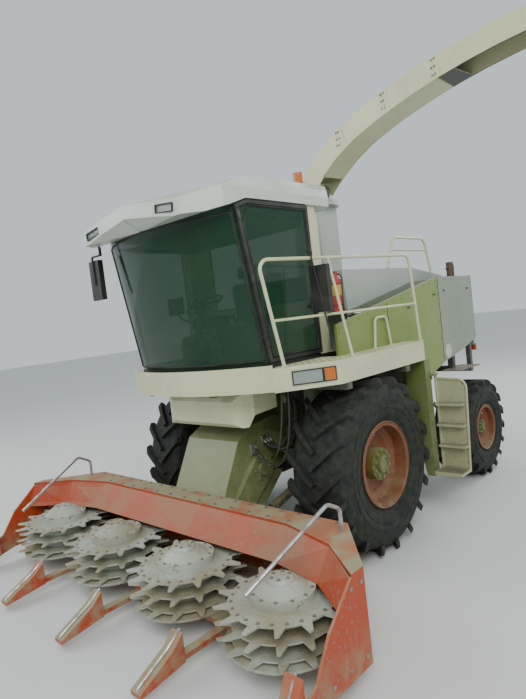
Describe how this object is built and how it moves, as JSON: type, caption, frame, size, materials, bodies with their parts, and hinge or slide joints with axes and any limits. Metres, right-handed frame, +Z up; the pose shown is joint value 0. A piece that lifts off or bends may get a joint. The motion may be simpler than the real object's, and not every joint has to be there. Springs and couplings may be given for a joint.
{
  "type": "forage harvester",
  "caption": "Self-propelled forage harvester with a glazed cab, side platform, turned discharge spout, steered rear axle and a row-independent rotary maize header.",
  "frame": {"origin": "on the ground under the middle of the whole machine's box, header and turned spout included", "axes": "+X to the machine's left, +Y to its rear, +Z up"},
  "size_m": [6.758, 6.312, 4.9535],
  "materials": {
    "black_steel": "satin black paint",
    "engine_iron": "dusty painted iron",
    "green_paint": "seed green gloss paint",
    "cab_black": "black",
    "roof_shell": "cream moulded shell",
    "tinted_glass": "tinted",
    "seat_cloth": "dark cloth",
    "cream_paint": "cream paint",
    "lamp_lens": "clear lens",
    "amber_lens": "amber lens",
    "grey_paint": "light grey paint",
    "dark_grille": "dark grey louvres",
    "exhaust_steel": "heat browned",
    "extinguisher_red": "red gloss",
    "header_red": "red-orange paint under dust",
    "bare_steel": "worn bright steel",
    "drum_paint": "pale paint worn by crop",
    "tyre_rubber": "dusty black",
    "rim_paint": "terracotta red paint"
  },
  "bodies": {
    "machine": {"chassis_frame": "black_steel", "cab_supports": "black_steel", "body_brackets": "black_steel", "front_axle": "black_steel", "rear_axle": "black_steel", "engine_block": "engine_iron", "chopper_housing": "green_paint", "cab_frame": "cab_black", "cab_roof": "roof_shell", "cab_glass": "tinted_glass", "operator_seat": "seat_cloth", "steering_column": "cab_black", "front_bumper": "cream_paint", "platforms": "cream_paint", "headlamps": "lamp_lens", "amber_lamps": "amber_lens", "railings": "cream_paint", "side_box": "green_paint", "side_panels": "green_paint", "rear_panels": "grey_paint", "engine_hood": "grey_paint", "grilles": "dark_grille", "exhaust": "exhaust_steel", "discharge_tower": "grey_paint", "mirrors": "cab_black", "extinguisher": "extinguisher_red", "mudguards": "black_steel"},
    "door": {"cab_door": "cab_black", "door_glass": "tinted_glass"},
    "ladder": {"ladder": "cream_paint"},
    "spout_turret": {"spout_turntable": "grey_paint"},
    "spout": {"spout": "cream_paint"},
    "spout_flap": {"spout_flap": "cream_paint"},
    "header": {"feeder_housing": "green_paint", "header_frame": "header_red", "header_hoods": "header_red", "guide_tubes": "bare_steel"},
    "drum_left_outer": {"drum_left_outer": "drum_paint"},
    "drum_left_inner": {"drum_left_inner": "drum_paint"},
    "drum_right_inner": {"drum_right_inner": "drum_paint"},
    "drum_right_outer": {"drum_right_outer": "drum_paint"},
    "lift_barrels": {"lift_barrels": "black_steel"},
    "lift_rods": {"lift_rods": "bare_steel"},
    "knuckle_left": {"knuckle_left": "black_steel"},
    "knuckle_right": {"knuckle_right": "black_steel"},
    "wheel_front_left": {"tyre_front_left": "tyre_rubber", "rim_front_left": "rim_paint"},
    "wheel_front_right": {"tyre_front_right": "tyre_rubber", "rim_front_right": "rim_paint"},
    "wheel_rear_left": {"tyre_rear_left": "tyre_rubber", "rim_rear_left": "rim_paint"},
    "wheel_rear_right": {"tyre_rear_right": "tyre_rubber", "rim_rear_right": "rim_paint"}
  },
  "joints": [
    {"name": "door_hinge", "type": "hinge", "parent": "machine", "child": "door", "pos_m": [0.00903, -1.32156, 2.106], "axis": [0, 0.1582, -0.9874], "range_deg": [0, 15]},
    {"name": "ladder_swing", "type": "hinge", "parent": "machine", "child": "ladder", "pos_m": [0.49403, 0.879, 1], "axis": [0, 0, 1], "range_deg": [0, 90]},
    {"name": "spout_slew", "type": "hinge", "parent": "machine", "child": "spout_turret", "pos_m": [-1.02897, 0.964, 3.89], "axis": [0, 0, 1], "range_deg": [-7, 203]},
    {"name": "spout_lift", "type": "hinge", "parent": "spout_turret", "child": "spout", "pos_m": [-1.02897, 0.964, 4.02], "axis": [-0.1392, -0.9903, 0], "range_deg": [-8, 20]},
    {"name": "flap_tilt", "type": "hinge", "parent": "spout", "child": "spout_flap", "pos_m": [2.963, 0.40297, 4.82489], "axis": [-0.1392, -0.9903, 0], "range_deg": [-40, 20]},
    {"name": "header_lift", "type": "hinge", "parent": "machine", "child": "header", "pos_m": [-1.02897, -0.656, 1.15], "axis": [-1, 0, 0], "range_deg": [0, 20]},
    {"name": "drum_left_outer_spin", "type": "hinge", "parent": "header", "child": "drum_left_outer", "pos_m": [0.66603, -2.196, 0.35], "axis": [0, 0, 1], "continuous": true},
    {"name": "drum_left_inner_spin", "type": "hinge", "parent": "header", "child": "drum_left_inner", "pos_m": [-0.46397, -2.196, 0.35], "axis": [0, 0, 1], "continuous": true},
    {"name": "drum_right_inner_spin", "type": "hinge", "parent": "header", "child": "drum_right_inner", "pos_m": [-1.59397, -2.196, 0.35], "axis": [0, 0, 1], "continuous": true},
    {"name": "drum_right_outer_spin", "type": "hinge", "parent": "header", "child": "drum_right_outer", "pos_m": [-2.72397, -2.196, 0.35], "axis": [0, 0, 1], "continuous": true},
    {"name": "ram_tilt", "type": "hinge", "parent": "machine", "child": "lift_barrels", "pos_m": [-1.02897, -0.166, 0.6], "axis": [-1, 0, 0], "range_deg": [0, 13.49]},
    {"name": "ram_slide", "type": "slide", "parent": "lift_barrels", "child": "lift_rods", "axis": [0, -0.9674, -0.2532], "range_m": [0, 0.2152]},
    {"name": "steer_left", "type": "hinge", "parent": "machine", "child": "knuckle_left", "pos_m": [-0.07897, 2.498, 0.658], "axis": [0, 0, 1], "range_deg": [-40, 40]},
    {"name": "steer_right", "type": "hinge", "parent": "machine", "child": "knuckle_right", "pos_m": [-1.97897, 2.498, 0.658], "axis": [0, 0, 1], "range_deg": [-40, 40]},
    {"name": "spin_front_left", "type": "hinge", "parent": "machine", "child": "wheel_front_left", "pos_m": [0.15003, -0.236, 0.898], "axis": [1, 0, 0], "continuous": true},
    {"name": "spin_front_right", "type": "hinge", "parent": "machine", "child": "wheel_front_right", "pos_m": [-2.20797, -0.236, 0.898], "axis": [1, 0, 0], "continuous": true},
    {"name": "spin_rear_left", "type": "hinge", "parent": "knuckle_left", "child": "wheel_rear_left", "pos_m": [0.13003, 2.498, 0.658], "axis": [1, 0, 0], "continuous": true},
    {"name": "spin_rear_right", "type": "hinge", "parent": "knuckle_right", "child": "wheel_rear_right", "pos_m": [-2.18797, 2.498, 0.658], "axis": [1, 0, 0], "continuous": true}
  ],
  "couplings": [
    {"joint": "steer_right", "follows": "steer_left", "ratio": 1},
    {"joint": "ram_tilt", "follows": "header_lift", "ratio": 0.66466},
    {"joint": "ram_slide", "follows": "header_lift", "m_per_rad": 0.61091}
  ]
}
